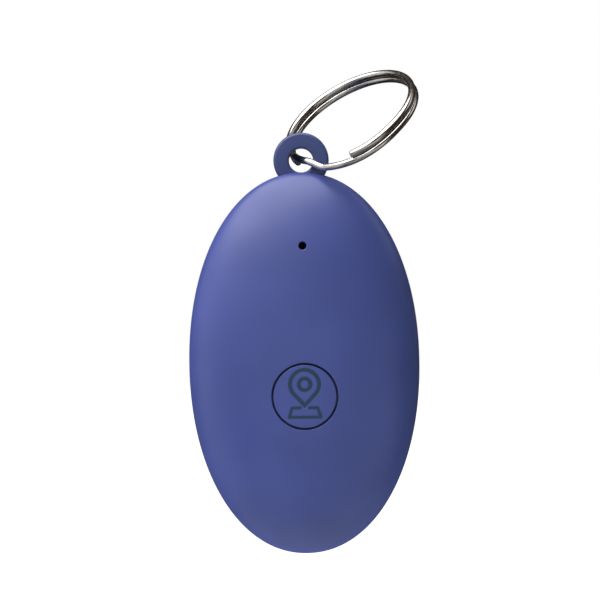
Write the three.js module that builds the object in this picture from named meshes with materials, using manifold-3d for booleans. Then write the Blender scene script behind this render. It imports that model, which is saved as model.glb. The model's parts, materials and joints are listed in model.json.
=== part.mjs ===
// A bluetooth tracker tag on a split ring: a domed front shell and a flat-backed rear shell with an
// eyelet, a press button, a beeper behind a sound hole, a circuit board and a coin cell under a
// turn-lock door. Millimetres. +Z runs up the tag to its eyelet, -Y is the front, the origin is the
// centre of the eyelet's hole.
import * as THREE from "three";
import { mergeVertices } from "three/addons/utils/BufferGeometryUtils.js";
import Module from "manifold-3d";

const wasm = await Module();
wasm.setup();

// ---- driving dimensions -----------------------------------------------------------------------
// Heights along the tag are counted from the middle of its oval, depths from the parting plane.
const OVAL = { halfWidth: 15.55, halfHeight: 25.72, squareness: 2.09, sides: 44 };
const WALL = 1.2;
const FIT = 0.03; // gap between pieces that are glued, soldered or clamped together

const FRONT = { depth: 6, roundness: 2.3, rows: 8 };
const REAR = { start: 0.06, depth: 5, flat: 0.8, rows: 5, ceiling: 3.2 };
const SEAL_GROOVE = { outer: 0.35, inner: 0.95, depth: 0.3, play: 0.07 };
const LIP = { outer: 1.45, inner: 2, rootOuter: 1, front: -0.6, rear: 0.8 };

const EYELET = { z: 27.38, radius: 3.75, hole: 1.67, front: 0.1, thick: 2.6, edge: 0.3 };
const BUTTON = { z: -4.4, hole: 4.47, radius: 4.21, flange: 5.15 };
const FLANGE = { front: -4.38, rear: -3.78 };
const COLLAR = { outer: 6.2, inner: 5.45, front: -5.2, rear: -3.6 };
const SOUND = { z: 15.75, hole: 0.54, boss: 2.4, bossRear: -3.3 };

const BOARD = { halfWidth: 12.6, halfHeight: 21.8, front: -2, rear: -1.2 };
const CELL = { z: -4, radius: 10, front: -0.57, thick: 3.2 };
const CARRIER = { inner: 10.25, outer: 11.3, rear: 2.3, ear: 1.9, earRear: -0.17, gap: 4.6 };
const SCREW = { shank: 0.65, head: 1.2, headHigh: 0.8, tip: -3.3, point: 0.5 };
const RECESS = { long: 1.2, wide: 0.3, deep: 0.2 }; // the cross in a screw's head
const BOSS = { radius: 1.6, bore: 0.72, front: -4.2, boreFront: -3.4, hole: 0.8 };
const SCREW_SPOTS = [[8.5, 8.2], [-8.5, 8.2], [6.5, -15.5], [-6.5, -15.5]];

const DOOR = { flange: 11.6, neck: 10.1, neckInner: 8.9, flangeFront: 4.1, neckFront: 2.75 };
const DOOR_WEB = 3.6; // front face of the door's middle, inside its neck
const DOORWAY = { counterbore: 11.75, counterboreFront: 4, bore: 10.75 };
const TABS = { count: 3, door: 34, shell: 40, doorReach: 10.62, shellReach: 10.2 };
const SHELL_TAB_REAR = 3.42;
const DOOR_TAB_REAR = 3.12;
const COIN_SLOT = { long: 14, wide: 1.7, deep: 0.6 };
const DOOR_SEAL = { ring: 10.42, wire: 0.29, y: 3.79 };
const DOOR_FOAM = { radius: 8.5, front: 2.7 };

// The ring's far side is up from the eyelet by RING.rise, and it leans back by RING.tilt.
const RING = { radius: 9.37, wire: 0.475, layer: 0.51, rise: 30.6, tilt: 28.9 };
const RING_CENTRE = new THREE.Vector3(7, 4.2, 32.93);
const RING_ENDS = { first: 107, last: -550 }; // degrees round the ring, two coils in between
const CRANK = { from: -226, to: -208 };
const BOW = { out: 0.6, middle: 103, half: 48 }; // where keys have sprung the coils outwards

// ---- finishes ---------------------------------------------------------------------------------
const finish = (color, roughness, metalness = 0) =>
  new THREE.MeshStandardMaterial({ color, roughness, metalness });
const BLUE_SHELL = finish(0x454e8c, 0.45);
const BLUE_BUTTON = finish(0x444d88, 0.5);
const RING_STEEL = finish(0xc9c9cc, 0.2, 1);
const CELL_STEEL = finish(0xb9bbbd, 0.3, 1);
const SPRING_GOLD = finish(0xd8b46a, 0.3, 1);
const SCREW_STEEL = finish(0x8f9092, 0.35, 1);
const BOARD_GREEN = finish(0x1d5a38, 0.5);
const CHIP_BLACK = finish(0x17181a, 0.55);
const CERAMIC_TAN = finish(0xc2a27a, 0.5);
const ANTENNA_WHITE = finish(0xe6e4dc, 0.45);
const CARRIER_BLACK = finish(0x222326, 0.6);
const RUBBER_BLACK = finish(0x161618, 0.8);
const SILICONE_GREY = finish(0x9a9ca0, 0.75);
const FOAM_BLACK = finish(0x242428, 0.95);
const MESH_BLACK = finish(0x101114, 0.7);

// ---- solids -----------------------------------------------------------------------------------
function solid(geometry) {
  const bare = geometry.clone();
  bare.deleteAttribute("normal");
  bare.deleteAttribute("uv");
  const merged = mergeVertices(bare, 1e-4);
  return new wasm.Manifold(
    new wasm.Mesh({
      numProp: 3,
      vertProperties: merged.attributes.position.array,
      triVerts: new Uint32Array(merged.index.array),
    }),
  );
}

function geometryOf(body) {
  const { vertProperties, triVerts } = body.getMesh();
  const geometry = new THREE.BufferGeometry();
  geometry.setAttribute("position", new THREE.BufferAttribute(vertProperties, 3));
  geometry.setIndex(new THREE.BufferAttribute(triVerts, 1));
  geometry.computeVertexNormals();
  return geometry;
}

const joined = (...bodies) => bodies.reduce((all, one) => all.add(one));
const without = (body, ...cutters) => cutters.reduce((left, one) => left.subtract(one), body);

// ---- shapes -----------------------------------------------------------------------------------
const radians = THREE.MathUtils.degToRad;
const signedPower = (value, power) => Math.sign(value) * Math.abs(value) ** power;

// A point of the tag's oval outline, for half-axes a and b.
function ovalPoint(a, b, angle) {
  const power = 2 / OVAL.squareness;
  return [a * signedPower(Math.cos(angle), power), b * signedPower(Math.sin(angle), power)];
}

// A profile of [share of the half-axes, depth] turned round the depth axis and drawn out to an oval.
function ovalLathe(inset, profile) {
  const geometry = new THREE.LatheGeometry(
    profile.map(([share, y]) => new THREE.Vector2(share, y)),
    OVAL.sides,
  );
  const places = geometry.attributes.position;
  for (let i = 0; i < places.count; i++) {
    const share = Math.hypot(places.getX(i), places.getZ(i));
    const angle = Math.atan2(places.getZ(i), places.getX(i));
    const [x, z] = ovalPoint(OVAL.halfWidth - inset, OVAL.halfHeight - inset, angle);
    places.setXYZ(i, x * share, places.getY(i), z * share);
  }
  return solid(geometry);
}

// A turned solid on the depth axis through (x, z), its profile given as [radius, depth].
function turned(profile, x, z, sides = 32) {
  const points = profile.map(([radius, y]) => new THREE.Vector2(radius, y));
  return solid(new THREE.LatheGeometry(points, sides).translate(x, 0, z));
}

// A round disc or pin from one depth to another.
function disc(radius, front, rear, x = 0, z = 0, sides = 32) {
  const geometry = new THREE.CylinderGeometry(radius, radius, rear - front, sides);
  return solid(geometry.translate(x, (front + rear) / 2, z));
}

function tube(outer, inner, front, rear, x = 0, z = 0, sides = 32) {
  const bore = disc(inner, front - 1, rear + 1, x, z, sides);
  return disc(outer, front, rear, x, z, sides).subtract(bore);
}

// A flat outline in the X-Z plane given thickness from one depth to another.
function slab(shape, front, rear) {
  const geometry = new THREE.ExtrudeGeometry(shape, { depth: rear - front, bevelEnabled: false });
  return solid(geometry.rotateX(Math.PI / 2).translate(0, rear, 0));
}

function box(wide, thick, high, x, y, z) {
  return solid(new THREE.BoxGeometry(wide, thick, high).translate(x, y, z));
}

function ovalSlab(halfWidth, halfHeight, front, rear) {
  const outline = [];
  for (let i = 0; i < OVAL.sides; i++) {
    const point = ovalPoint(halfWidth, halfHeight, (2 * Math.PI * i) / OVAL.sides);
    outline.push(new THREE.Vector2(...point));
  }
  return slab(new THREE.Shape(outline), front, rear);
}

// A band that follows the oval between two insets.
function ovalBand(outer, inner, front, rear) {
  const hollow = ovalSlab(OVAL.halfWidth - inner, OVAL.halfHeight - inner, front - 1, rear + 1);
  return ovalSlab(OVAL.halfWidth - outer, OVAL.halfHeight - outer, front, rear).subtract(hollow);
}

// A sector of a ring round (0, z), its middle at an angle from +X and its width in degrees.
function sector(inner, outer, middle, width, front, rear, z) {
  const from = radians(middle - width / 2);
  const to = radians(middle + width / 2);
  const shape = new THREE.Shape();
  shape.absarc(0, z, outer, from, to, false);
  shape.absarc(0, z, inner, to, from, true);
  return slab(shape, front, rear);
}

function tabRing(inner, outer, width, front, rear) {
  const tabs = [];
  for (let i = 0; i < TABS.count; i++) {
    tabs.push(sector(inner, outer, 90 + (360 / TABS.count) * i, width, front, rear, CELL.z));
  }
  return joined(...tabs);
}

// ---- shells -----------------------------------------------------------------------------------
// The front dome, from its crown to the parting plane, and on to the depth that `rear` gives.
function dome(inset, rear) {
  const depth = FRONT.depth - inset;
  const profile = [];
  for (let i = 0; i <= FRONT.rows; i++) {
    const t = (Math.PI / 2) * (i / FRONT.rows);
    profile.push([Math.sin(t) ** (2 / FRONT.roundness), -depth * Math.cos(t)]);
  }
  if (rear > 0) profile.push([1, rear]);
  profile.push([0, rear]);
  return ovalLathe(inset, profile);
}

// The rear body: its sides round over into a flat back.
function rearBody(inset, front, depth) {
  const profile = [[0, front], [1, front]];
  for (let i = REAR.rows; i >= 0; i--) {
    const t = (Math.PI / 2) * (i / REAR.rows);
    const share = REAR.flat + (1 - REAR.flat) * Math.sin(t);
    profile.push([share, REAR.start + (depth - REAR.start) * Math.cos(t)]);
  }
  profile.push([0, depth]);
  return ovalLathe(inset, profile);
}

const outerDome = dome(0, 0);

function frontShell() {
  const bosses = SCREW_SPOTS.map(([x, z]) =>
    disc(BOSS.radius, BOSS.front, BOARD.front - FIT, x, z, 24),
  );
  const collar = tube(COLLAR.outer, COLLAR.inner, COLLAR.front, COLLAR.rear, 0, BUTTON.z);
  const soundBoss = disc(SOUND.boss, -FRONT.depth, SOUND.bossRear, 0, SOUND.z, 24);
  const inside = joined(...bosses, collar, soundBoss).intersect(outerDome);
  const { outer, inner, depth } = SEAL_GROOVE;
  return without(
    joined(outerDome.subtract(dome(WALL, 1)), inside),
    ovalBand(outer, inner, -depth, 1),
    disc(BUTTON.hole, -FRONT.depth - 1, COLLAR.rear, 0, BUTTON.z, 48),
    disc(SOUND.hole, -FRONT.depth - 1, SOUND.bossRear + 1, 0, SOUND.z, 20),
    ...SCREW_SPOTS.map(([x, z]) => disc(BOSS.bore, BOSS.boreFront, 0, x, z, 16)),
  );
}

function eyeletDisc() {
  const { radius, edge, front, thick, z } = EYELET;
  const rear = front + thick;
  const profile = [
    [0, front],
    [radius - edge, front],
    [radius, front + edge],
    [radius, rear - edge],
    [radius - edge, rear],
    [0, rear],
  ];
  return turned(profile, 0, z);
}

// The cutter for the eyelet's hole, which flares at both rims.
function eyeletHole() {
  const { hole, edge, front, thick, z } = EYELET;
  const rear = front + thick;
  const past = 0.1;
  const profile = [
    [0, front - past],
    [hole + edge + past, front - past],
    [hole, front + edge],
    [hole, rear - edge],
    [hole + edge + past, rear + past],
    [0, rear + past],
  ];
  return turned(profile, 0, z, 32);
}

function rearShell() {
  const past = REAR.depth + 1;
  const cavity = rearBody(WALL, REAR.start - 1, REAR.ceiling);
  const body = joined(rearBody(0, REAR.start, REAR.depth), eyeletDisc()).subtract(cavity);
  const lip = joined(
    ovalBand(LIP.rootOuter, LIP.inner, REAR.start, LIP.rear),
    ovalBand(LIP.outer, LIP.inner, LIP.front, LIP.rear),
  );
  const { outer, inner, depth } = SEAL_GROOVE;
  const opened = without(
    joined(body, lip),
    eyeletHole(),
    ovalBand(outer, inner, REAR.start - 1, REAR.start + depth),
    disc(DOORWAY.bore, REAR.ceiling - 1, past, 0, CELL.z, 64),
    disc(DOORWAY.counterbore, DOORWAY.counterboreFront, past, 0, CELL.z, 64),
  );
  const root = DOORWAY.bore + 0.1;
  const tabs = tabRing(TABS.shellReach, root, TABS.shell, REAR.ceiling, SHELL_TAB_REAR);
  return opened.add(tabs);
}

function shellGasket() {
  const { outer, inner, depth, play } = SEAL_GROOVE;
  return ovalBand(outer + play, inner - play, play - depth, REAR.start + depth - play);
}

// ---- button and switch ------------------------------------------------------------------------
function buttonCap() {
  const face = disc(BUTTON.radius, -FRONT.depth - 1, FLANGE.rear, 0, BUTTON.z, 48);
  const flange = disc(BUTTON.flange, FLANGE.front, FLANGE.rear, 0, BUTTON.z, 48);
  return joined(face.intersect(outerDome), flange);
}

const PAD = { radius: 1.6, rear: -3.53 };
const SWITCH = { wide: 4.5, front: -3.1, bore: 1.1, boreRear: -2.42, stem: 1, stemRear: -2.75 };

function switchBody() {
  const rear = BOARD.front - FIT;
  const { wide, front, bore, boreRear } = SWITCH;
  const block = box(wide, rear - front, wide, 0, (rear + front) / 2, BUTTON.z);
  return block.subtract(disc(bore, front - 1, boreRear, 0, BUTTON.z, 24));
}

// ---- sound path, circuit board and what is soldered to it ---------------------------------------
const SOUND_MESH = { radius: 1.8, thick: 0.1 };
const DUCT = { outer: 1.9, bore: 0.9 };
const BEEPER = { radius: 4.6, thick: 2.5, edge: 0.3, portDeep: 0.8 };

function circuitBoard() {
  const { halfWidth, halfHeight, front, rear } = BOARD;
  const port = disc(DUCT.bore, front - 1, rear + 1, 0, SOUND.z, 20);
  const holes = SCREW_SPOTS.map(([x, z]) => disc(BOSS.hole, front - 1, rear + 1, x, z, 20));
  return without(ovalSlab(halfWidth, halfHeight, front, rear), port, ...holes);
}

// A block soldered to the board's front face.
function chip(wide, thick, high, x, z) {
  return box(wide, thick, high, x, BOARD.front - FIT - thick / 2, z);
}

function beeper() {
  const { radius, thick, edge, portDeep } = BEEPER;
  const front = BOARD.rear + FIT;
  const rear = front + thick;
  const profile = [
    [0, front],
    [radius - edge, front],
    [radius, front + edge],
    [radius, rear - edge],
    [radius - edge, rear],
    [0, rear],
  ];
  const port = disc(DUCT.bore, front - 1, front + portDeep, 0, SOUND.z, 20);
  return turned(profile, 0, SOUND.z).subtract(port);
}

// ---- coin cell, its carrier and contacts --------------------------------------------------------
// The smaller negative cap stands a step proud of the can.
const CELL_CAP = { radius: 8.9, step: 0.35, edge: 0.3 };

function coinCell() {
  const { radius, front, thick, z } = CELL;
  const { radius: capRadius, step, edge } = CELL_CAP;
  const profile = [
    [0, front],
    [capRadius - edge, front],
    [capRadius, front + step],
    [radius - edge, front + step],
    [radius, front + step + edge],
    [radius, front + thick - edge],
    [radius - edge, front + thick],
    [0, front + thick],
  ];
  return turned(profile, 0, z, 48);
}

const ARM = { sunk: 0.3, halfWidth: 1.52 }; // sunk is how far an arm reaches into the ring
const GAP = { thick: 9, high: 3, centre: 0.6 }; // the ring's break, where the contact goes in

// An arm from the carrier's ring out to a screw.
function carrierArm([x, z]) {
  const front = BOARD.rear + FIT;
  const thick = CARRIER.earRear - front;
  const reach = Math.hypot(x, z - CELL.z);
  const long = reach - CARRIER.inner - ARM.sunk;
  const bar = new THREE.BoxGeometry(long, thick, 2 * ARM.halfWidth);
  bar.translate(reach - long / 2, 0, 0);
  bar.rotateY(-Math.atan2(z - CELL.z, x));
  bar.translate(0, front + thick / 2, CELL.z);
  return joined(solid(bar), disc(CARRIER.ear, front, CARRIER.earRear, x, z, 24));
}

function batteryCarrier() {
  const front = BOARD.rear + FIT;
  const ring = tube(CARRIER.outer, CARRIER.inner, front, CARRIER.rear, 0, CELL.z, 48);
  const gap = box(CARRIER.gap, GAP.thick, GAP.high, 0, 0, CELL.z + CARRIER.inner + GAP.centre);
  const holes = SCREW_SPOTS.map(([x, z]) => disc(BOSS.hole, front - 1, 1, x, z, 20));
  return without(joined(ring, ...SCREW_SPOTS.map(carrierArm)), gap, ...holes);
}

// A strip of spring sheet: a side outline of [height, depth] points given width along X.
function strip(outline, width) {
  const shape = new THREE.Shape(outline.map(([z, y]) => new THREE.Vector2(z, y)));
  const geometry = new THREE.ExtrudeGeometry(shape, { depth: width, bevelEnabled: false });
  // The outline's first axis becomes Z, its second stays Y, and the width runs along X.
  return solid(geometry.translate(0, 0, -width / 2).rotateY(-Math.PI / 2));
}

const SHEET = 0.15;
const NEGATIVE = { half: 5, foot: 2.5, pad: 1, wide: 4 };
const POSITIVE = { clear: 0.06, foot: 2.4, high: 1.9, wide: 3.6 };

function negativeContact() {
  const foot = BOARD.rear + FIT;
  const touch = CELL.front - FIT;
  const bottom = CELL.z - NEGATIVE.half;
  const top = CELL.z + NEGATIVE.half;
  const { foot: bend, pad } = NEGATIVE;
  const outline = [
    [bottom, foot],
    [bottom + bend, foot],
    [CELL.z - pad, touch - SHEET],
    [CELL.z + pad, touch - SHEET],
    [top - bend, foot],
    [top, foot],
    [top, foot + SHEET],
    [top - bend, foot + SHEET],
    [CELL.z + pad, touch],
    [CELL.z - pad, touch],
    [bottom + bend, foot + SHEET],
    [bottom, foot + SHEET],
  ];
  return strip(outline, NEGATIVE.wide);
}

function positiveContact() {
  const foot = BOARD.rear + FIT;
  const near = CELL.z + CELL.radius + POSITIVE.clear;
  const far = near + POSITIVE.foot;
  const outline = [
    [near, foot],
    [far, foot],
    [far, foot + SHEET],
    [near + SHEET, foot + SHEET],
    [near + SHEET, POSITIVE.high],
    [near, POSITIVE.high],
  ];
  return strip(outline, POSITIVE.wide);
}

function carrierScrew([x, z]) {
  const under = CARRIER.earRear + FIT;
  const { shank, head, headHigh, tip, point } = SCREW;
  const profile = [
    [0, tip],
    [shank * 0.5, tip],
    [shank, tip + point],
    [shank, under],
    [head, under],
    [head, under + headHigh * 0.6],
    [head * 0.7, under + headHigh],
    [0, under + headHigh],
  ];
  const rear = under + headHigh;
  const { long, wide, deep } = RECESS;
  const slots = [
    box(long, 2 * deep, wide, x, rear, z),
    box(wide, 2 * deep, long, x, rear, z),
  ];
  return without(turned(profile, x, z, 20), ...slots);
}

// ---- battery door -------------------------------------------------------------------------------
function batteryDoor() {
  const { flange, neck, neckInner, flangeFront, neckFront } = DOOR;
  const edge = 0.25;
  const turnedDoor = turned(
    [
      [0, DOOR_WEB],
      [neckInner, DOOR_WEB],
      [neckInner, neckFront],
      [neck, neckFront],
      [neck, flangeFront],
      [flange, flangeFront],
      [flange, REAR.depth - edge],
      [flange - edge, REAR.depth],
      [0, REAR.depth],
    ],
    0,
    CELL.z,
    64,
  );
  const { long, wide, deep } = COIN_SLOT;
  const slot = new THREE.Shape();
  const straight = long / 2 - wide / 2;
  slot.absarc(straight, CELL.z, wide / 2, -Math.PI / 2, Math.PI / 2, false);
  slot.absarc(-straight, CELL.z, wide / 2, Math.PI / 2, (3 * Math.PI) / 2, false);
  const tabs = tabRing(neck - 0.1, TABS.doorReach, TABS.door, neckFront, DOOR_TAB_REAR);
  return without(joined(turnedDoor, tabs), slab(slot, REAR.depth - deep, REAR.depth + 1));
}

function doorSeal() {
  const { ring, wire, y } = DOOR_SEAL;
  const loop = new THREE.TorusGeometry(ring, wire, 6, 40).rotateX(Math.PI / 2);
  return solid(loop.translate(0, y, CELL.z));
}

// ---- split ring ---------------------------------------------------------------------------------
// The wire makes two flat coils. At the crank it steps from one coil to the other.
class RingWire extends THREE.Curve {
  constructor() {
    super();
    const rise = radians(RING.rise);
    const tilt = radians(RING.tilt);
    this.lean = new THREE.Vector3(Math.cos(rise), 0, Math.sin(rise));
    const down = new THREE.Vector3(Math.sin(rise), 0, -Math.cos(rise));
    this.across = new THREE.Vector3(0, -Math.cos(tilt), 0).addScaledVector(down, Math.sin(tilt));
    this.axis = new THREE.Vector3().crossVectors(this.lean, this.across);
  }

  getPoint(share, target = new THREE.Vector3()) {
    const angle = THREE.MathUtils.lerp(RING_ENDS.first, RING_ENDS.last, share);
    const step = THREE.MathUtils.smoothstep(angle, CRANK.from, CRANK.to);
    const level = RING.layer * (1 - 2 * step);
    const round = THREE.MathUtils.euclideanModulo(angle - BOW.middle + 180, 360) - 180;
    const off = Math.min(Math.abs(round) / BOW.half, 1);
    const radius = RING.radius + BOW.out * Math.cos((off * Math.PI) / 2) ** 2;
    return target
      .copy(RING_CENTRE)
      .addScaledVector(this.lean, radius * Math.cos(radians(angle)))
      .addScaledVector(this.across, radius * Math.sin(radians(angle)))
      .addScaledVector(this.axis, level);
  }
}

function splitRing() {
  const section = new THREE.Shape();
  section.absarc(0, 0, RING.wire, 0, 2 * Math.PI, false);
  return new THREE.ExtrudeGeometry(section, {
    extrudePath: new RingWire(),
    steps: 88,
    curveSegments: 4,
    bevelEnabled: false,
  });
}

// ---- assembly -----------------------------------------------------------------------------------
const tag = new THREE.Group();
tag.position.set(0, -(EYELET.front + EYELET.thick / 2), -EYELET.z);

function add(name, body, material) {
  const geometry = body.isBufferGeometry ? body : geometryOf(body);
  const mesh = new THREE.Mesh(geometry, material);
  mesh.name = name;
  tag.add(mesh);
}

add("front_shell", frontShell(), BLUE_SHELL);
add("rear_shell", rearShell(), BLUE_SHELL);
add("shell_gasket", shellGasket(), RUBBER_BLACK);

add("button_cap", buttonCap(), BLUE_BUTTON);
add("button_pad", disc(PAD.radius, FLANGE.rear + FIT, PAD.rear, 0, BUTTON.z, 24), SILICONE_GREY);
add("switch_body", switchBody(), CHIP_BLACK);
const stemFront = PAD.rear + FIT;
add("switch_stem", disc(SWITCH.stem, stemFront, SWITCH.stemRear, 0, BUTTON.z, 24), SILICONE_GREY);

const meshFront = SOUND.bossRear + FIT;
const meshRear = meshFront + SOUND_MESH.thick;
add("sound_mesh", disc(SOUND_MESH.radius, meshFront, meshRear, 0, SOUND.z, 24), MESH_BLACK);
const duct = tube(DUCT.outer, DUCT.bore, meshRear + FIT, BOARD.front - FIT, 0, SOUND.z, 24);
add("sound_duct", duct, SILICONE_GREY);
add("beeper", beeper(), CHIP_BLACK);

add("circuit_board", circuitBoard(), BOARD_GREEN);
add("radio_chip", chip(5, 0.85, 5, 0, 5), CHIP_BLACK);
add("crystal", chip(3.2, 0.7, 2.5, 5.6, 3.6), CELL_STEEL);
add("power_inductor", chip(2.5, 1, 2, -5.6, 3.8), CHIP_BLACK);
add("chip_antenna", chip(6.5, 0.9, 2, 0, -18.2), ANTENNA_WHITE);
add("antenna_capacitor", chip(1, 0.5, 0.5, 0, -15.6), CERAMIC_TAN);
add("crystal_capacitor", chip(1, 0.5, 0.5, 5.6, 6.4), CERAMIC_TAN);
add("power_capacitor", chip(1.6, 0.8, 0.8, -5.6, 6.4), CERAMIC_TAN);

add("battery_carrier", batteryCarrier(), CARRIER_BLACK);
add("negative_contact", negativeContact(), SPRING_GOLD);
add("positive_contact", positiveContact(), SPRING_GOLD);
add("coin_cell", coinCell(), CELL_STEEL);
SCREW_SPOTS.forEach((spot, i) => add("carrier_screw_" + (i + 1), carrierScrew(spot), SCREW_STEEL));

add("battery_door", batteryDoor(), BLUE_SHELL);
add("door_seal", doorSeal(), RUBBER_BLACK);
const foam = disc(DOOR_FOAM.radius, DOOR_FOAM.front, DOOR_WEB - FIT, 0, CELL.z);
add("door_foam", foam, FOAM_BLACK);

add("split_ring", splitRing(), RING_STEEL);

const part = new THREE.Group();
part.add(tag);
export default part;
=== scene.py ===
import json
import math

import bmesh
import bpy
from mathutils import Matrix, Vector


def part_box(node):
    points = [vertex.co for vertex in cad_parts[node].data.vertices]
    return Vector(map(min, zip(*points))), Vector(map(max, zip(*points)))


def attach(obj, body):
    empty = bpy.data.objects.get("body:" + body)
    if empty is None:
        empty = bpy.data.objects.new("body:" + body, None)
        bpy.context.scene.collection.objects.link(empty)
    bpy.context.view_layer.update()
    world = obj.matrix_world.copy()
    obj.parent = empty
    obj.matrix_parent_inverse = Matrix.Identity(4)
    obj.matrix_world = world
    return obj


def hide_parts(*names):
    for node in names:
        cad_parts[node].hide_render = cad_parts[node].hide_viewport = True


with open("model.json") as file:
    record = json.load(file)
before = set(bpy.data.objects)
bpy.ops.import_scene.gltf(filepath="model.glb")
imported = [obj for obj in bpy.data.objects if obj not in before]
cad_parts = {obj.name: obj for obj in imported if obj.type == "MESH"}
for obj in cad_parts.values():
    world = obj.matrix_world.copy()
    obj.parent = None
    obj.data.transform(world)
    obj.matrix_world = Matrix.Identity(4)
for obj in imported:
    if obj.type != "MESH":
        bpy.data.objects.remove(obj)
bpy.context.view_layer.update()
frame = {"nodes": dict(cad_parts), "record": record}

# ---- the tag's sizes, in millimetres, in the frame: +Z up to the eyelet, -Y the front -------------
MM = 0.001


def corners(node):
    """Lowest and highest corner of a CAD node, in millimetres."""
    low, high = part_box(node)
    return Vector(low) / MM, Vector(high) / MM


front_low, front_high = corners("front_shell")
rear_low, rear_high = corners("rear_shell")
door_low, door_high = corners("battery_door")
button_low, button_high = corners("button_cap")

HALF_WIDTH = (front_high.x - front_low.x) / 2
HALF_HEIGHT = (front_high.z - front_low.z) / 2
MIDDLE_Z = (front_high.z + front_low.z) / 2
PARTING_Y = front_high.y
CROWN = PARTING_Y - front_low.y  # how far the dome stands out of the parting plane
BACK = rear_high.y - PARTING_Y
SQUARENESS = 2.09  # 2 would be a true ellipse
DOME_ROUNDNESS = 2.3
WALL = 1.2
SHELL_GAP = 0.06  # the hairline between the two shells
ROUND = 256  # points round each shell

EYELET_RADIUS = rear_high.z
EYELET_HOLE = 1.64
EYELET_THICK = 2.6
EYELET_EDGE = 0.38

BUTTON_Z = (button_high.z + button_low.z) / 2
BUTTON_RADIUS = 4.2
BUTTON_HOLE = 4.49
FLANGE_RADIUS = (button_high.x - button_low.x) / 2
SOUND_Z = MIDDLE_Z + 15.75
SOUND_HOLE = 0.54

DOOR_Z = (door_high.z + door_low.z) / 2
DOOR_RADIUS = (door_high.x - door_low.x) / 2
DOORWAY_RADIUS = 11.75
DOORWAY_STEP = 10.75

RING_RADIUS = 9.37
RING_WIRE = 0.485  # the wire's radius; the CAD wire's is 0.475
RING_LAYER = 0.51
RING_RISE = math.radians(30.6)
RING_TILT = math.radians(28.9)


# ---- helpers for meshes ---------------------------------------------------------------------------
def signed_power(value, power):
    return math.copysign(abs(value) ** power, value)


def oval_loop(inset, y, share=1.0):
    """Points round the tag's oval outline, drawn in by an inset or to a share of its size."""
    points = []
    for i in range(ROUND):
        angle = 2 * math.pi * i / ROUND
        x = (HALF_WIDTH - inset) * share * signed_power(math.cos(angle), 2 / SQUARENESS)
        z = (HALF_HEIGHT - inset) * share * signed_power(math.sin(angle), 2 / SQUARENESS)
        points.append(Vector((x, y, MIDDLE_Z + z)))
    return points


def round_loop(radius, y, z, count=ROUND):
    """Points round a circle about the depth axis."""
    turn = 2 * math.pi / count
    return [
        Vector((radius * math.cos(turn * i), y, z + radius * math.sin(turn * i)))
        for i in range(count)
    ]


def fillet(radius, steps=5):
    """Steps of a quarter round: how far along the first face and along the second."""
    for i in range(steps + 1):
        angle = math.pi / 2 * i / steps
        yield radius * math.sin(angle), radius * (1 - math.cos(angle))


def add_loop(bm, points):
    return [bm.verts.new(point * MM) for point in points]


def join_loops(bm, first, second):
    count = len(first)
    for i in range(count):
        after = (i + 1) % count
        bm.faces.new((first[i], first[after], second[after], second[i]))


def skin(bm, loops, closed=False):
    """Faces between each loop of points and the next; closed joins the last to the first."""
    made = [add_loop(bm, loop) for loop in loops]
    for first, second in zip(made, made[1:]):
        join_loops(bm, first, second)
    if closed:
        join_loops(bm, made[-1], made[0])
    return made


def cap(bm, loop, centre):
    """Closes a loop with triangles round one middle point."""
    middle = bm.verts.new(centre * MM)
    count = len(loop)
    for i in range(count):
        bm.faces.new((loop[i], loop[(i + 1) % count], middle))


def finished(name, bm, body, material, replaces=(), crease=38):
    """Turns a bmesh into a smooth-shaded piece that rides on a body."""
    bmesh.ops.recalc_face_normals(bm, faces=bm.faces)
    mesh = bpy.data.meshes.new(name)
    bm.to_mesh(mesh)
    bm.free()
    piece = bpy.data.objects.new(name, mesh)
    bpy.context.scene.collection.objects.link(piece)
    smooth(mesh, crease)
    mesh.materials.append(material)
    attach(piece, body)
    if replaces:
        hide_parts(*replaces)
    return piece


def smooth(mesh, crease):
    mesh.polygons.foreach_set("use_smooth", [True] * len(mesh.polygons))
    mesh.set_sharp_from_angle(angle=math.radians(crease))


def solid_object(name, bm):
    """A closed helper mesh for joining or cutting."""
    bmesh.ops.recalc_face_normals(bm, faces=bm.faces)
    mesh = bpy.data.meshes.new(name)
    bm.to_mesh(mesh)
    bm.free()
    piece = bpy.data.objects.new(name, mesh)
    bpy.context.scene.collection.objects.link(piece)
    return piece


def combine(piece, tool, operation):
    """Joins or cuts a piece with a helper solid, then removes the helper."""
    step = piece.modifiers.new(operation, "BOOLEAN")
    step.operation = operation
    step.solver = "EXACT"
    step.object = tool
    graph = bpy.context.evaluated_depsgraph_get()
    result = bpy.data.meshes.new_from_object(piece.evaluated_get(graph))
    piece.modifiers.clear()
    piece.data = result
    bpy.data.objects.remove(tool)


def turned(profile, z, count=96):
    """A closed solid of revolution about the depth axis, from [radius, depth] points."""
    bm = bmesh.new()
    loops = [round_loop(radius, y, z, count) for radius, y in profile[1:-1]]
    made = skin(bm, loops)
    cap(bm, made[0], Vector((0, profile[0][1], z)))
    cap(bm, made[-1], Vector((0, profile[-1][1], z)))
    return bm


# ---- helpers for materials ------------------------------------------------------------------------
def linear(hex_colour):
    """An sRGB hex colour as linear RGBA."""
    channels = [int(hex_colour[i:i + 2], 16) / 255 for i in (1, 3, 5)]
    curved = [c / 12.92 if c <= 0.04045 else ((c + 0.055) / 1.055) ** 2.4 for c in channels]
    return (*curved, 1.0)


def node(tree, kind, inputs=(), **settings):
    """Adds a node with its settings; inputs are (socket, value or the socket that feeds it)."""
    made = tree.nodes.new(kind)
    for key, value in settings.items():
        setattr(made, key, value)
    for socket, value in dict(inputs).items():
        if isinstance(value, bpy.types.NodeSocket):
            tree.links.new(value, made.inputs[socket])
        else:
            made.inputs[socket].default_value = value
    return made


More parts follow.
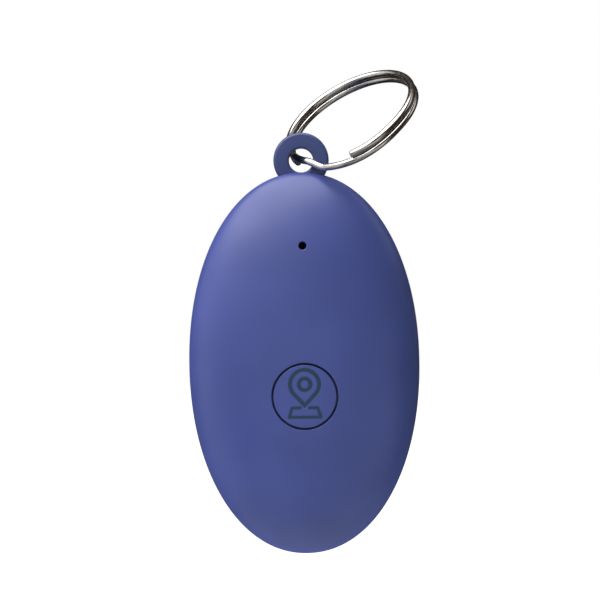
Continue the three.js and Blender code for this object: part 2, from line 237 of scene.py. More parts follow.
def new_material(name, **sockets):
    """A material with one shader, whose plain values are set on its own sockets."""
    material = bpy.data.materials.new(name)
    material.use_nodes = True
    tree = material.node_tree
    shader = tree.nodes["Principled BSDF"]
    for socket, value in sockets.items():
        shader.inputs[socket.replace("_", " ")].default_value = value
    return material, tree, shader


def object_place(tree):
    """Position on the piece, in millimetres."""
    coordinates = node(tree, "ShaderNodeTexCoord").outputs["Object"]
    scaled = node(
        tree, "ShaderNodeVectorMath", {0: coordinates, 1: (1 / MM,) * 3}, operation="MULTIPLY"
    )
    return scaled.outputs["Vector"]


def noise(tree, place, grain_mm, detail=2.0, roughness=0.5, stretch=(1, 1, 1)):
    """Noise whose blotches are about grain_mm across, drawn out along an axis by stretch."""
    drawn = node(tree, "ShaderNodeVectorMath", {0: place, 1: stretch}, operation="MULTIPLY")
    inputs = {
        "Vector": drawn.outputs["Vector"],
        "Scale": 1 / grain_mm,
        "Detail": detail,
        "Roughness": roughness,
    }
    return node(tree, "ShaderNodeTexNoise", inputs).outputs["Fac"]


def spread(tree, value, low, high, old_low=0.3, old_high=0.7):
    inputs = {
        "Value": value, "From Min": old_low, "From Max": old_high, "To Min": low, "To Max": high
    }
    return node(tree, "ShaderNodeMapRange", inputs).outputs["Result"]


def blend(tree, share, first, second):
    """Mixes two colours; each is a hex colour or a socket."""
    first = linear(first) if isinstance(first, str) else first
    second = linear(second) if isinstance(second, str) else second
    mix = node(tree, "ShaderNodeMix", {"Factor": share}, data_type="RGBA")
    for socket, value in ((mix.inputs[6], first), (mix.inputs[7], second)):
        if isinstance(value, bpy.types.NodeSocket):
            tree.links.new(value, socket)
        else:
            socket.default_value = value
    return mix.outputs[2]


def relief(tree, shader, height, depth_mm, under=None):
    """Bump of a real depth; under is another bump that it lies on."""
    inputs = {"Height": height, "Distance": depth_mm * MM, "Strength": 1.0}
    if under is not None:
        inputs["Normal"] = under
    bump = node(tree, "ShaderNodeBump", inputs)
    tree.links.new(bump.outputs["Normal"], shader.inputs["Normal"])
    return bump.outputs["Normal"]


# ---- materials ------------------------------------------------------------------------------------
SHELL_BLUE = ("#454f98", "#404a8e")
# Painted shade: the rear shell, its eyelet and the battery door are drawn a shade darker than the
# front, in place of the shade that falls on the eyelet.
REAR_BLUE_PAINTED_SHADE = ("#3d4880", "#384377")
INK = "#1a3450"


def soft_touch_lacquer(name, tones, ink=False):
    """ABS, moulded and sprayed with a soft-touch lacquer: satin, with a fine even orange peel."""
    material, tree, shader = new_material(
        name, Roughness=0.36, IOR=1.5, Coat_Weight=0.0
    )
    place = object_place(tree)
    cloud = noise(tree, place, 9.0, detail=1.0)
    colour = blend(tree, spread(tree, cloud, 0.0, 1.0), *tones)
    # Spray grain is about 0.05 mm; drawn at 0.18 mm, so that it shows.
    grain = noise(tree, place, 0.18, detail=3.0, roughness=0.6)
    smudge = noise(tree, place, 5.0, detail=3.0)
    rough = spread(tree, smudge, 0.34, 0.42)
    if ink:
        mark = node(tree, "ShaderNodeAttribute", attribute_name="ink").outputs["Fac"]
        colour = blend(tree, mark, colour, INK)
    tree.links.new(colour, shader.inputs["Base Color"])
    tree.links.new(rough, shader.inputs["Roughness"])
    relief(tree, shader, grain, 0.0035)
    return material


def plated_steel(name, tone, rough, line_mm, depth_mm, stretch):
    """Steel wire or sheet, drawn, tumbled and nickel-plated: a bright mirror with faint draw lines."""
    material, tree, shader = new_material(name, Metallic=1.0)
    place = object_place(tree)
    smear = noise(tree, place, 1.6, detail=3.0)
    dull = blend(tree, spread(tree, smear, 0.0, 0.5), tone, "#9c968e")
    lines = noise(tree, place, line_mm, detail=4.0, roughness=0.7, stretch=stretch)
    tree.links.new(dull, shader.inputs["Base Color"])
    tree.links.new(spread(tree, smear, rough * 0.8, rough * 1.6), shader.inputs["Roughness"])
    relief(tree, shader, lines, depth_mm)
    return material


def ring_nickel():
    """Spring-steel wire, nickel-plated and tumbled: draw lines run along the wire."""
    material, tree, shader = new_material("nickel_plated_wire", Metallic=1.0)
    wire = node(tree, "ShaderNodeUVMap", uv_map="along_and_round").outputs["UV"]
    lines = noise(tree, wire, 0.12, detail=3.0, roughness=0.6, stretch=(0.04, 1.0, 1.0))
    place = object_place(tree)
    smear = noise(tree, place, 1.1, detail=3.0)
    wear = noise(tree, place, 0.35, detail=4.0, roughness=0.7)
    tone = blend(tree, spread(tree, smear, 0.0, 0.55), "#cfccc8", "#9a928a")
    tree.links.new(tone, shader.inputs["Base Color"])
    tree.links.new(spread(tree, wear, 0.1, 0.24), shader.inputs["Roughness"])
    relief(tree, shader, lines, 0.0012)
    return material


def plain_moulding(name, light, dark, rough, grain_mm, depth_mm):
    """A moulded, pressed or fired surface: two close tones in soft clouds over a fine grain."""
    material, tree, shader = new_material(name)
    place = object_place(tree)
    cloud = noise(tree, place, grain_mm * 14, detail=2.0)
    tone = blend(tree, spread(tree, cloud, 0.0, 1.0), light, dark)
    grain = noise(tree, place, grain_mm, detail=3.0)
    tree.links.new(tone, shader.inputs["Base Color"])
    tree.links.new(spread(tree, grain, rough * 0.9, rough * 1.1), shader.inputs["Roughness"])
    relief(tree, shader, grain, depth_mm)
    return material


def acoustic_mesh():
    """Woven polyester mesh: threads 0.06 mm thick, drawn at 0.2 mm so that they show."""
    material, tree, shader = new_material("woven_acoustic_mesh", Roughness=0.8)
    place = object_place(tree)
    thread = 2 * math.pi / 0.2
    angle = node(
        tree, "ShaderNodeVectorMath", {0: place, 1: (thread,) * 3}, operation="MULTIPLY"
    ).outputs["Vector"]
    wave = node(tree, "ShaderNodeVectorMath", {0: angle}, operation="SINE").outputs["Vector"]
    parts = node(tree, "ShaderNodeSeparateXYZ", {"Vector": wave})
    weave = node(
        tree,
        "ShaderNodeMath",
        {0: parts.outputs["X"], 1: parts.outputs["Z"]},
        operation="MULTIPLY",
    ).outputs["Value"]
    share = spread(tree, weave, 0.0, 1.0, -1.0, 1.0)
    tree.links.new(blend(tree, share, "#0b0c10", "#2a2c33"), shader.inputs["Base Color"])
    relief(tree, shader, weave, 0.03)
    return material


def solder_mask():
    """Glass-epoxy board under a green solder mask: the weave shows faintly through the gloss."""
    material, tree, shader = new_material(
        "green_solder_mask", Coat_Weight=0.6, Coat_Roughness=0.15
    )
    place = object_place(tree)
    weave = noise(tree, place, 0.5, detail=1.0, stretch=(1, 1, 0.25))
    stain = noise(tree, place, 6.0, detail=2.0)
    tone = blend(tree, spread(tree, weave, 0.0, 0.5), "#1d5c3a", "#2b6f49")
    tone = blend(tree, spread(tree, stain, 0.0, 0.4), tone, "#174a30")
    tree.links.new(tone, shader.inputs["Base Color"])
    tree.links.new(spread(tree, stain, 0.35, 0.5), shader.inputs["Roughness"])
    relief(tree, shader, weave, 0.01)
    return material


FINISHES = {
    "blue_shell": soft_touch_lacquer("blue_soft_touch_lacquer", SHELL_BLUE),
    # The rear finish is the same lacquer drawn darker, as painted shade.
    "rear_shell": soft_touch_lacquer("blue_lacquer_with_painted_shade", REAR_BLUE_PAINTED_SHADE),
    "blue_button": soft_touch_lacquer("blue_lacquer_with_inked_mark", SHELL_BLUE, ink=True),
    "ring_steel": ring_nickel(),
    "nickel_steel": plated_steel("brushed_nickel_can", "#c9c9c6", 0.26, 0.15, 0.004, (1, 1, 0.05)),
    "screw_steel": plated_steel("zinc_plated_screw", "#a9aaac", 0.32, 0.1, 0.006, (1, 1, 1)),
    "gold_spring": plated_steel("gold_flashed_bronze", "#d9b56a", 0.24, 0.1, 0.004, (1, 1, 0.1)),
    "green_board": solder_mask(),
    "black_plastic": plain_moulding("black_glass_filled_nylon", "#1b1c1f", "#26272b", 0.5, 0.1, 0.006),
    "tan_ceramic": plain_moulding("fired_tan_ceramic", "#b8926a", "#a57f58", 0.42, 0.06, 0.004),
    "white_ceramic": plain_moulding("fired_white_ceramic", "#e9e6de", "#d8d4ca", 0.38, 0.06, 0.004),
    "black_rubber": plain_moulding("moulded_nitrile_rubber", "#141416", "#1e1e21", 0.62, 0.08, 0.006),
    "grey_silicone": plain_moulding("moulded_silicone", "#9a9ca1", "#85888e", 0.58, 0.1, 0.005),
    "black_foam": plain_moulding("closed_cell_foam", "#1c1c20", "#2d2d33", 0.92, 0.25, 0.06),
    "black_mesh": acoustic_mesh(),
}


# ---- front shell ----------------------------------------------------------------------------------
def dome_y(x, z, inset=0.0):
    """Depth of the domed front at a place; inset gives the parallel inner face."""
    across = abs(x / (HALF_WIDTH - inset)) ** SQUARENESS
    along = abs((z - MIDDLE_Z) / (HALF_HEIGHT - inset)) ** SQUARENESS
    share = min((across + along) ** (1 / SQUARENESS), 1.0)
    return PARTING_Y - (CROWN - inset) * math.sqrt(max(1 - share**DOME_ROUNDNESS, 0.0))


def dome_rows(inset, start_radius, rows=72):
    """Loops on the dome from the button's hole out to the rim, closer together near the rim."""
    hole = round_loop(start_radius, 0, BUTTON_Z)
    rim = oval_loop(inset, 0)
    loops = []
    for row in range(rows):
        out = 1 - (1 - 0.985 * row / (rows - 1)) ** 2
        loop = [first.lerp(last, out) for first, last in zip(hole, rim)]
        for point in loop:
            point.y = dome_y(point.x, point.z, inset)
        loops.append(loop)
    return loops


def rim_rows():
    """From the dome's rim, over its rounded edge, along the seal's groove to the inner wall."""
    edge = 0.1
    loops = []
    for along, inward in fillet(edge):
        loops.append(oval_loop(inward, PARTING_Y - edge + along))
    groove = ((0.35, 0), (0.35, -0.3), (0.95, -0.3), (0.95, 0), (WALL, 0), (WALL, -0.25))
    for inset, y in groove:
        loops.append(oval_loop(inset, PARTING_Y + y))
    return loops


def circle_on_dome(radius, z, inset, deeper, angles):
    """A circle about the depth axis whose points lie on the dome, or deeper than it."""
    points = []
    for angle in angles:
        x, up = radius * math.cos(angle), z + radius * math.sin(angle)
        points.append(Vector((x, dome_y(x, up, inset) + deeper, up)))
    return points


def even_angles(count=ROUND):
    return [2 * math.pi * i / count for i in range(count)]


def front_shell():
    bm = bmesh.new()
    edge = 0.05
    outer = dome_rows(0.0, BUTTON_HOLE + edge)
    inner = dome_rows(WALL, BUTTON_HOLE)
    wall = []
    for along, inward in fillet(edge):
        size = BUTTON_HOLE + inward
        wall.append(circle_on_dome(size, BUTTON_Z, 0.0, edge - along, even_angles()))
    wall = wall[:-1]
    rows = outer + rim_rows() + inner[::-1] + wall
    made = skin(bm, rows, closed=True)
    cut_sound_hole(bm, made, len(outer), len(outer) + len(rim_rows()))
    return finished(
        "front_shell_moulding", bm, "case", FINISHES["blue_shell"], ["front_shell"]
    )


def cut_sound_hole(bm, made, outer_count, inner_start):
    """Opens a patch of the dome's grid and leads it smoothly into the round sound hole."""
    reach = 1.9  # how far from the hole's middle the patch begins
    top = ROUND // 4
    columns = range(top - 5, top + 6)
    heights = [made[row][top].co.z / MM - SOUND_Z for row in range(outer_count)]
    low = max(row for row, height in enumerate(heights) if height < -reach)
    high = min(row for row, height in enumerate(heights) if height > reach)
    outer_frame = patch_frame(made, low, high, columns, lambda row: row)
    last = inner_start + outer_count - 1
    inner_frame = patch_frame(made, low, high, columns, lambda row: last - row)
    doomed = set()
    for row in range(low, high):
        for column in columns[:-1]:
            for index in (lambda r: r, lambda r: last - r):
                ring = {
                    made[index(row)][column],
                    made[index(row)][column + 1],
                    made[index(row + 1)][column],
                    made[index(row + 1)][column + 1],
                }
                face = next(f for f in made[index(row)][column].link_faces if set(f.verts) == ring)
                doomed.add(face)
    bmesh.ops.delete(bm, geom=list(doomed), context="FACES")
    loose = [vert for vert in bm.verts if not vert.link_faces]
    angles = [math.atan2(vert.co.z / MM - SOUND_Z, vert.co.x / MM) for vert in outer_frame]
    edge = 0.07
    loops = [outer_frame]
    for step in (0.4, 0.7, 0.88):
        loops.append(add_loop(bm, drawn_in(outer_frame, angles, SOUND_HOLE + edge, step, 0.0)))
    for along, inward in fillet(edge):
        circle = circle_on_dome(SOUND_HOLE + edge - along, SOUND_Z, 0.0, inward, angles)
        loops.append(add_loop(bm, circle))
    loops.append(add_loop(bm, circle_on_dome(SOUND_HOLE, SOUND_Z, WALL, 0.0, angles)))
    loops.append(add_loop(bm, drawn_in(inner_frame, angles, SOUND_HOLE, 0.6, WALL)))
    loops.append(inner_frame)
    for first, second in zip(loops, loops[1:]):
        join_loops(bm, first, second)
    bmesh.ops.delete(bm, geom=loose, context="VERTS")


def patch_frame(made, low, high, columns, index):
    """The vertices round a rectangular patch of the grid, in order."""
    first, last = columns[0], columns[-1]
    frame_verts = [made[index(low)][column] for column in columns[:-1]]
    frame_verts += [made[index(row)][last] for row in range(low, high)]
    frame_verts += [made[index(high)][column] for column in reversed(columns[1:])]
    frame_verts += [made[index(row)][first] for row in range(high, low, -1)]
    return frame_verts


def drawn_in(frame_verts, angles, radius, share, inset):
    """Points part of the way from a patch's frame to a circle, on the dome."""
    points = []
    for vert, angle in zip(frame_verts, angles):
        x = vert.co.x / MM * (1 - share) + radius * math.cos(angle) * share
        z = vert.co.z / MM * (1 - share) + (SOUND_Z + radius * math.sin(angle)) * share
        points.append(Vector((x, dome_y(x, z, inset), z)))
    return points


# ---- button cap -----------------------------------------------------------------------------------
STROKE = 0.52
PIN = {"z": 1.6, "radius": 2.2, "tip": 0.14, "long": 2.96}
DOT_RADIUS = 0.78
SHEET_STROKE = 0.42
SHEET = {"top": -1.53, "foot": -2.79, "top_half": 1.72, "foot_half": 2.12, "gap_half": 0.64}
INK_DEPTH = 0.04


def pin_distance(x, z):
    """Distance to a drop outline: a round head that narrows to a point below."""
    x, along = abs(x), PIN["z"] - z
    slope = (PIN["radius"] - PIN["tip"]) / PIN["long"]
    flank = math.sqrt(1 - slope * slope)
    place = flank * along - slope * x
    if place < 0:
        return math.hypot(x, along) - PIN["radius"]
    if place > flank * PIN["long"]:
        return math.hypot(x, along - PIN["long"]) - PIN["tip"]
    return flank * x + slope * along - PIN["radius"]


def line_distance(x, z, start, end):
    """Distance to a straight line between two points."""
    wide, high = end[0] - start[0], end[1] - start[1]
    share = ((x - start[0]) * wide + (z - start[1]) * high) / (wide * wide + high * high)
    share = min(max(share, 0.0), 1.0)
    return math.hypot(x - start[0] - share * wide, z - start[1] - share * high)


def sheet_distance(x, z):
    """Distance to the outline of a flat sheet seen from above its front edge, open at the back."""
    gap, top = (SHEET["gap_half"], SHEET["top"]), (SHEET["top_half"], SHEET["top"])
    foot, middle = (SHEET["foot_half"], SHEET["foot"]), (0.0, SHEET["foot"])
    x = abs(x)
    lines = ((gap, top), (top, foot), (foot, middle))
    return min(line_distance(x, z, start, end) for start, end in lines) - SHEET_STROKE / 2


def mark_distance(x, z):
    """Distance to the button's plain location mark: a pin with a ring in it, over a sheet."""
    pin = abs(pin_distance(x, z) + STROKE / 2) - STROKE / 2
    dot = abs(math.hypot(x, z - PIN["z"]) - DOT_RADIUS) - STROKE / 2
    return min(pin, dot, sheet_distance(x, z))


def ink_share(x, z):
    """1 inside the mark, 0 outside, over a soft edge."""
    soft = 0.1
    share = min(max(0.5 - mark_distance(x, z) / (2 * soft), 0.0), 1.0)
    return share * share * (3 - 2 * share)


def button_cap():
    bm = bmesh.new()
    layer = bm.verts.layers.float.new("ink")
    count, rows, edge = 384, 84, 0.06
    face = BUTTON_RADIUS - edge
    angles = even_angles(count)
    loops, inks = [], []
    for row in range(1, rows + 1):
        loop = circle_on_dome(face * row / rows, BUTTON_Z, 0.0, 0.0, angles)
        shares = [ink_share(point.x, point.z - BUTTON_Z) for point in loop]
        for point, share in zip(loop, shares):
            point.y += INK_DEPTH * share
        loops.append(loop)
        inks.append(shares)
    for along, inward in list(fillet(edge))[1:]:
        loops.append(circle_on_dome(face + along, BUTTON_Z, 0.0, inward, angles))
    flange_front, flange_rear = button_high.y - 0.6, button_high.y
    for radius, y in (
        (BUTTON_RADIUS, flange_front),
        (FLANGE_RADIUS - 0.1, flange_front),
        (FLANGE_RADIUS, flange_front + 0.1),
        (FLANGE_RADIUS, flange_rear - 0.1),
        (FLANGE_RADIUS - 0.1, flange_rear),
    ):
        loops.append(round_loop(radius, y, BUTTON_Z, count))
    made = skin(bm, loops)
    middle_y = dome_y(0, BUTTON_Z)
    cap(bm, made[0], Vector((0, middle_y, BUTTON_Z)))
    cap(bm, made[-1], Vector((0, flange_rear, BUTTON_Z)))
    for loop, shares in zip(made, inks):
        for vert, share in zip(loop, shares):
            vert[layer] = share
    return finished(
        "button_cap_moulding", bm, "button", FINISHES["blue_button"], ["button_cap"]
    )


# ---- rear shell -----------------------------------------------------------------------------------
FLAT_SHARE = 0.8  # the flat back reaches to this share of the oval


def back_rows(inset, depth, start, steps=26):
    """Loops from the flat back's edge round the corner to the parting plane."""
    loops = []
    for step in range(steps + 1):
        angle = math.pi / 2 * step / steps
        share = FLAT_SHARE + (1 - FLAT_SHARE) * math.sin(angle) ** (2 / 2.3)
        loops.append(oval_loop(inset, start + (depth - start) * math.cos(angle), share))
    return loops


def rear_shell():
    bm = bmesh.new()
    back, start = PARTING_Y + BACK, PARTING_Y + SHELL_GAP
    edge = 0.12
    doorway = round_loop(DOORWAY_RADIUS + edge, back, DOOR_Z)
    flat = oval_loop(0.0, back, FLAT_SHARE)
    loops = []
    for row in range(6):
        loops.append([a.lerp(b, row / 6) for a, b in zip(doorway, flat)])
    loops += back_rows(0.0, back, start + 0.1)
    for along, inward in list(fillet(0.1))[1:]:
        loops.append(oval_loop(inward, start + 0.1 - along))
    lip = (
        (0.35, 0), (0.35, 0.3), (0.95, 0.3), (0.95, 0), (1.4, 0), (1.45, -0.6), (2, -0.6), (2, 0.8)
    )
    loops += [oval_loop(inset, start + y) for inset, y in lip]
    ceiling = PARTING_Y + 3.2
    loops += back_rows(WALL, ceiling, PARTING_Y + 0.9, 10)[::-1]
    step_y = PARTING_Y + 4
    for radius, y in (
        (DOORWAY_STEP, ceiling),
        (DOORWAY_STEP, step_y),
        (DOORWAY_RADIUS, step_y),
    ):
        loops.append(round_loop(radius, y, DOOR_Z))
    for along, inward in list(fillet(edge))[:-1]:
        loops.append(round_loop(DOORWAY_RADIUS + inward, back - edge + along, DOOR_Z))
    skin(bm, loops, closed=True)
    shell = solid_object("rear_shell_body", bm)
    combine(shell, solid_object("eyelet_disc", eyelet_disc()), "UNION")
    combine(shell, solid_object("eyelet_hole", eyelet_hole()), "DIFFERENCE")
    cleaned = bmesh.new()
    cleaned.from_mesh(shell.data)
    bpy.data.objects.remove(shell)
    return finished(
        "rear_shell_moulding", cleaned, "case", FINISHES["rear_shell"], ["rear_shell"]
    )


def eyelet_disc():
    """A thick disc with well rounded rims, centred on the frame's origin."""
    half = EYELET_THICK / 2
    profile = [(0, -half)]
    for along, inward in fillet(EYELET_EDGE, 8):
        profile.append((EYELET_RADIUS - EYELET_EDGE + along, -half + inward))
    for inward, along in list(fillet(EYELET_EDGE, 8))[::-1]:
        profile.append((EYELET_RADIUS - EYELET_EDGE + inward, half - along))
    profile.append((0, half))
    return turned(profile, 0, 128)


def eyelet_hole():
    """A spool that cuts the eyelet's hole and rounds its rims."""
    half, edge, past = EYELET_THICK / 2, 0.3, 0.05
    rounding = [(EYELET_HOLE + inward, -half + edge - along) for along, inward in fillet(edge, 6)]
    profile = [(0, -half - past), (EYELET_HOLE + edge, -half - past)]
    profile += rounding[::-1]
    profile += [(radius, -y) for radius, y in rounding]
    profile += [(EYELET_HOLE + edge, half + past), (0, half + past)]
    return turned(profile, 0, 96)


# ---- battery door ---------------------------------------------------------------------------------
COIN_SLOT = {"long": 14.0, "wide": 1.7, "deep": 0.6}


def battery_door():
    back, edge = PARTING_Y + BACK, 0.15
    neck, neck_inner = 10.1, 8.9
    web, neck_front, flange_front = PARTING_Y + 3.6, door_low.y, PARTING_Y + 4.1
    profile = [(0, web), (neck_inner, web), (neck_inner, neck_front), (neck, neck_front)]
    profile += [(neck, flange_front), (DOOR_RADIUS, flange_front)]
    for along, inward in fillet(edge):
        profile.append((DOOR_RADIUS - inward, back - edge + along))
    profile.append((0, back))
    door = solid_object("door_body", turned(profile, DOOR_Z, 160))
    combine(door, solid_object("coin_slot", coin_slot(back)), "DIFFERENCE")
    for number in range(3):
        combine(door, solid_object("door_tab", door_tab(90 + 120 * number)), "UNION")
    cleaned = bmesh.new()
    cleaned.from_mesh(door.data)
    bpy.data.objects.remove(door)
    return finished(
        "battery_door_moulding", cleaned, "door", FINISHES["rear_shell"],
        ["battery_door"],
    )


def coin_slot(back):
    """A slot with round ends and a rounded floor edge."""
    long, wide, deep = COIN_SLOT["long"], COIN_SLOT["wide"], COIN_SLOT["deep"]
    bm = bmesh.new()
    loops = []
    for inset, y in ((0.25, back - deep), (0.08, back - deep + 0.06), (0, back - deep + 0.25)):
        loops.append(stadium(long, wide, inset, y))
    for along, inward in fillet(0.12):
        loops.append(stadium(long, wide, -inward, back - 0.12 + along))
    loops.append(stadium(long, wide, -0.12, back + 0.3))
    made = skin(bm, loops)
    cap(bm, made[0], Vector((0, back - deep, DOOR_Z)))
    cap(bm, made[-1], Vector((0, back + 0.3, DOOR_Z)))
    return bm


def stadium(long, wide, inset, y, count=48):
    """Points round a slot with half-round ends."""
    radius = wide / 2 - inset
    points = []
    for i in range(count):
        angle = 2 * math.pi * (i + 0.5) / count
        side = math.copysign(long / 2 - wide / 2, math.cos(angle))
        points.append(
            Vector((side + radius * math.cos(angle), y, DOOR_Z + radius * math.sin(angle)))
        )
    return points


def door_tab(middle, steps=8):
    """One of the door's locking tabs, a short sector of a ring."""
    bm = bmesh.new()
    width, inner, outer = 34, 9.9, 10.62
    front, rear = door_low.y, PARTING_Y + 3.12
    loops = []
    for step in range(steps + 1):
        angle = math.radians(middle - width / 2 + width * step / steps)
        corner = [(inner, front), (outer, front), (outer, rear), (inner, rear)]
        loops.append(
            [Vector((r * math.cos(angle), y, DOOR_Z + r * math.sin(angle))) for r, y in corner]
        )
    made = skin(bm, loops)
    bm.faces.new(made[0])
    bm.faces.new(made[-1][::-1])
    return bm


# ---- split ring -----------------------------------------------------------------------------------
RING_CENTRE = Vector((7, 2.8, 5.55))
RING_ENDS = (107, -550)  # degrees round the ring
CRANK = (-226, -208)
BOW = {"out": 0.6, "middle": 103, "half": 48}


def ring_frame():
    """Directions from the eyelet to the ring's far side, across it, and along its axis."""
    lean = Vector((math.cos(RING_RISE), 0, math.sin(RING_RISE)))
    down = Vector((math.sin(RING_RISE), 0, -math.cos(RING_RISE)))
    across = Vector((0, -math.cos(RING_TILT), 0)) + down * math.sin(RING_TILT)
    return lean, across, lean.cross(across)


def ring_point(degrees):
    """The wire's middle line: two flat coils with a crank between them, sprung out on one side."""
    lean, across, axis = ring_frame()
    step = min(max((degrees - CRANK[0]) / (CRANK[1] - CRANK[0]), 0.0), 1.0)
    step = step * step * (3 - 2 * step)
    level = RING_LAYER * (1 - 2 * step)
    round_off = (degrees - BOW["middle"] + 180) % 360 - 180
    off = min(abs(round_off) / BOW["half"], 1.0)
    radius = RING_RADIUS + BOW["out"] * math.cos(off * math.pi / 2) ** 2
    angle = math.radians(degrees)
    return (
        RING_CENTRE
        + lean * radius * math.cos(angle)
        + across * radius * math.sin(angle)
        + axis * level
    )


def split_ring():
    bm = bmesh.new()
    layer = bm.loops.layers.uv.new("along_and_round")
    steps, sides, end = 900, 28, 0.1
    axis = ring_frame()[2]
    first, last = RING_ENDS
    length = math.radians(first - last) * RING_RADIUS
    loops, travel = [], []
    for step in range(steps + 1):
        share = step / steps
        degrees = first + (last - first) * share
        ahead = ring_point(degrees - 0.05) - ring_point(degrees + 0.05)
        ahead.normalize()
        side = axis.cross(ahead).normalized()
        up = ahead.cross(side)
        from_end = min(share, 1 - share) * length
        close = min(from_end / end, 1.0)
        size = RING_WIRE * (0.8 + 0.2 * math.sqrt(close * (2 - close)))
        loop = []
        for i in range(sides):
            angle = 2 * math.pi * i / sides
            turned_out = side * math.cos(angle) + up * math.sin(angle)
            loop.append(ring_point(degrees) + turned_out * size)
        loops.append(loop)
        travel.append(share * length)
    made = skin(bm, loops)
    cap(bm, made[0], ring_point(first))
    cap(bm, made[-1], ring_point(last))
    unwrap_wire(bm, layer, made, travel, sides)
    return finished(
        "split_ring_wire", bm, "ring", FINISHES["ring_steel"], ["split_ring"]
    )


def unwrap_wire(bm, layer, made, travel, sides):
    """Lays millimetres along the wire and round it into a UV map, for the draw lines."""
    girth = 2 * math.pi * RING_WIRE
    place = {}
    for along, loop in zip(travel, made):
        for i, vert in enumerate(loop):
            place[vert] = (along, i)
    for face in bm.faces:
        seam = {place[v][1] for v in face.verts if v in place} >= {0, sides - 1}
        for corner in face.loops:
            along, i = place.get(corner.vert, (0.0, 0))
            if seam and i == 0:
                i = sides
            corner[layer].uv = (along, i / sides * girth)


# ---- carried-over CAD nodes -------------------------------------------------------------------------
BEVELLED = {
    "radio_chip": 0.08, "crystal": 0.12, "power_inductor": 0.12, "chip_antenna": 0.08,
    "antenna_capacitor": 0.06, "crystal_capacitor": 0.06, "power_capacitor": 0.08,
    "switch_body": 0.08,
}


def dress_cad_nodes():
    """Gives every CAD node that still shows its slot's finish, smooth shading and eased edges."""
    slots = {part["node"]: part["material_slot"] for part in frame["record"]["subparts"]}
    for name, cad in frame["nodes"].items():
        cad.data.materials.clear()
        cad.data.materials.append(FINISHES[slots[name]])
        smooth(cad.data, 35)
        if name in BEVELLED:
            ease = cad.modifiers.new("eased_edges", "BEVEL")
            ease.width = BEVELLED[name] * MM
            ease.segments = 2
            ease.harden_normals = True


# ---- camera, floor and light ------------------------------------------------------------------------
VIEW_WIDTH = 81.3  # mm across the frame at the tag
VIEW_DISTANCE = 0.5  # m
VIEW_MIDDLE = (-0.45, -18.884)  # mm, across and up
VIEW_ROLL = 0.94  # degrees


def camera():
    """Straight on to the front, turned by the small roll that the tag hangs at."""
    data = bpy.data.cameras.new("camera")
    data.sensor_width = 36
    data.lens = data.sensor_width * VIEW_DISTANCE / (VIEW_WIDTH * MM)
    data.clip_start, data.clip_end = 0.01, 20
    seen = bpy.data.objects.new("camera", data)
    bpy.context.scene.collection.objects.link(seen)
    across, up = VIEW_MIDDLE
    seen.location = (across * MM, -VIEW_DISTANCE, up * MM)
    seen.rotation_euler = (math.pi / 2, math.radians(VIEW_ROLL), 0)
    bpy.context.scene.camera = seen


FLOOR_HALF = 4.0  # m
FLOOR_DROP = 0.07  # m below the tag


def floor():
    """A plain pale floor below the hanging tag; it glows white and lights nothing."""
    bm = bmesh.new()
    half = FLOOR_HALF
    z = front_low.z * MM - FLOOR_DROP
    square = ((-half, -half), (half, -half), (half, half), (-half, half))
    bm.faces.new([bm.verts.new((x, y, z)) for x, y in square])
    mesh = bpy.data.meshes.new("floor")
    bm.to_mesh(mesh)
    bm.free()
    ground = bpy.data.objects.new("floor", mesh)
    bpy.context.scene.collection.objects.link(ground)
    material, _, shader = new_material(
        "pale_floor", Base_Color=linear("#f4f4f4"), Roughness=0.9, Emission_Strength=1.0
    )
    shader.inputs["Emission Color"].default_value = (1, 1, 1, 1)
    mesh.materials.append(material)
    ground.visible_diffuse = False
    ground.visible_glossy = False
    ground.visible_shadow = False


LAMP_DISTANCE = 0.6  # m


def softbox(name, direction, half_angle, light, mirrored=True):
    """A round soft light; light is how brightly it lights a white card that faces it.

    A light that isn't mirrored lights matt surfaces only, and no gloss shows it.
    """
    radius = LAMP_DISTANCE * math.tan(math.radians(half_angle))
    radiance = light / math.sin(math.radians(half_angle)) ** 2
    data = bpy.data.lights.new(name, "AREA")
    data.shape = "DISK"
    data.size = 2 * radius
    data.energy = radiance * 4 * math.pi * radius**2
    lamp = bpy.data.objects.new(name, data)
    towards = Vector(direction).normalized()
    lamp.location = towards * LAMP_DISTANCE + Vector((0, 0, MIDDLE_Z * MM))
    lamp.visible_glossy = mirrored
    bpy.context.scene.collection.objects.link(lamp)
    lamp.rotation_euler = towards.to_track_quat("Z", "Y").to_euler()


def ramp(tree, value, stops):
    """A curve of greys or colours through (place, hex colour) stops."""
    made = node(tree, "ShaderNodeValToRGB", {"Fac": value})
    elements = made.color_ramp.elements
    elements[0].position, elements[0].color = stops[0][0], linear(stops[0][1])
    elements[1].position, elements[1].color = stops[-1][0], linear(stops[-1][1])
    for place, colour in stops[1:-1]:
        elements.new(place).color = linear(colour)
    return made.outputs["Color"]


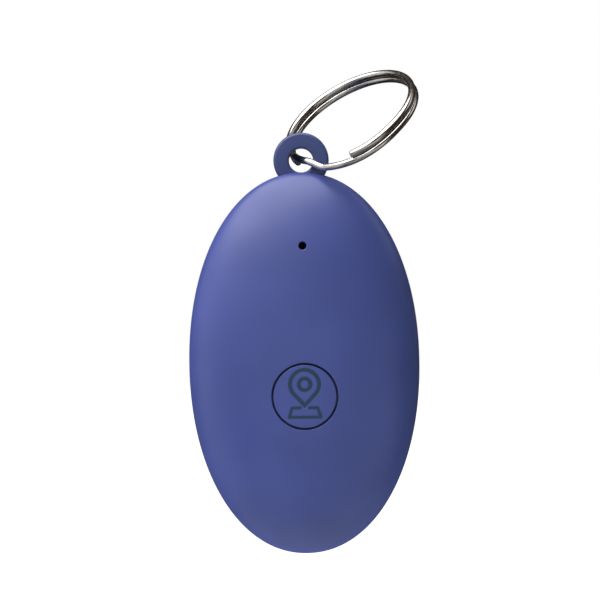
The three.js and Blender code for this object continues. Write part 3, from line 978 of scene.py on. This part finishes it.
def studio():
    """White to look at, pale and dark walls in the reflections, and a weak fill on matt surfaces."""
    world = bpy.data.worlds.new("studio")
    bpy.context.scene.world = world
    world.use_nodes = True
    tree = world.node_tree
    tree.nodes.clear()
    direction = node(tree, "ShaderNodeTexCoord").outputs["Generated"]
    parts = node(tree, "ShaderNodeSeparateXYZ", {"Vector": direction})
    depth = spread(tree, parts.outputs["Y"], 0.0, 1.0, -1.0, 1.0)
    walls = ramp(tree, depth, STUDIO_WALLS)
    panels = noise(tree, direction, 0.75, detail=1.0)
    walls = blend(tree, spread(tree, panels, 0.0, 1.0, 0.48, 0.54), walls, "#3a2f2a")
    low = spread(tree, parts.outputs["Z"], 0.75, 0.0, -0.9, -0.2)
    walls = blend(tree, low, walls, "#1c1a19")
    seen = node(tree, "ShaderNodeLightPath")
    shine = node(tree, "ShaderNodeBackground", {"Color": walls, "Strength": 1.0})
    soft = node(tree, "ShaderNodeBackground", {"Color": (0.8, 1, 0.3, 1), "Strength": 0.17})
    white = node(tree, "ShaderNodeBackground", {"Color": (1, 1, 1, 1), "Strength": 1.0})
    rest = node(
        tree,
        "ShaderNodeMixShader",
        {0: seen.outputs["Is Glossy Ray"], 1: soft.outputs[0], 2: shine.outputs[0]},
    )
    mixed = node(
        tree,
        "ShaderNodeMixShader",
        {0: seen.outputs["Is Camera Ray"], 1: rest.outputs[0], 2: white.outputs[0]},
    )
    output = node(tree, "ShaderNodeOutputWorld")
    tree.links.new(mixed.outputs[0], output.inputs["Surface"])
    softbox("key_upper_left", (-0.32, -0.33, 0.88), 37, 1.09)
    softbox("fill_left", (-0.95, -0.1, 0.1), 35, 0.17, mirrored=False)
    softbox("under", (-0.05, 0.1, -1.0), 50, 1.05, mirrored=False)
    softbox("behind", (0.1, 1.0, 0.35), 40, 0.5, mirrored=False)
    bpy.context.scene.view_settings.view_transform = "Standard"


# Brightness round the studio, from behind the camera (0) to behind the tag (1).
STUDIO_WALLS = (
    (0.0, "#d2d6d8"),
    (0.14, "#d6d9db"),
    (0.24, "#f2f4f6"),
    (0.59, "#ffffff"),
    (0.68, "#57524f"),
    (0.88, "#2c2827"),
    (0.97, "#2c2827"),
    (1.0, "#e8e9ea"),
)


camera()
floor()
studio()
dress_cad_nodes()
front_shell()
button_cap()
rear_shell()
battery_door()
split_ring()
